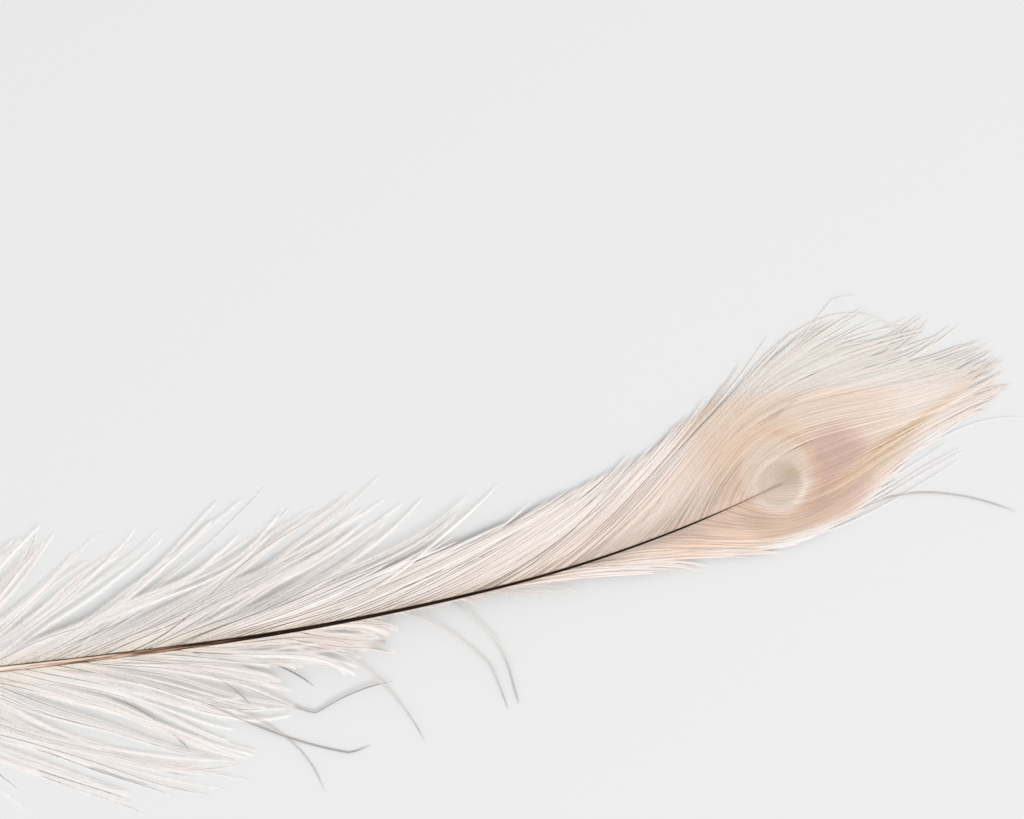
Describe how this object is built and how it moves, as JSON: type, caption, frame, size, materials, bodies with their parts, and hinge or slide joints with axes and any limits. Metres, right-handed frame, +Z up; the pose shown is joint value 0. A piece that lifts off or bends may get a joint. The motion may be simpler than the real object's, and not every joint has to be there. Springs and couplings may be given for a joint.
{
  "type": "peacock feather",
  "caption": "Pale bleached peacock tail feather lying flat, with a bowed tapering shaft, loose barbs along both sides and a dense eye at the tip.",
  "frame": {"origin": "centre of the bounding box, on the surface that the feather lies on", "axes": "+X along the feather from the quill's cut end to the vane's tip, +Y towards the long-barbed left side, +Z up"},
  "size_m": [0.5, 0.13, 0.0061],
  "materials": {
    "vane": "soft matte barbs with a faint silky sheen, ivory and peach with an ash-white eye",
    "shaft": "satin keratin, tan at the quill and near-black brown along its middle"
  },
  "bodies": {
    "root": {"feather": "vane"}
  },
  "joints": []
}
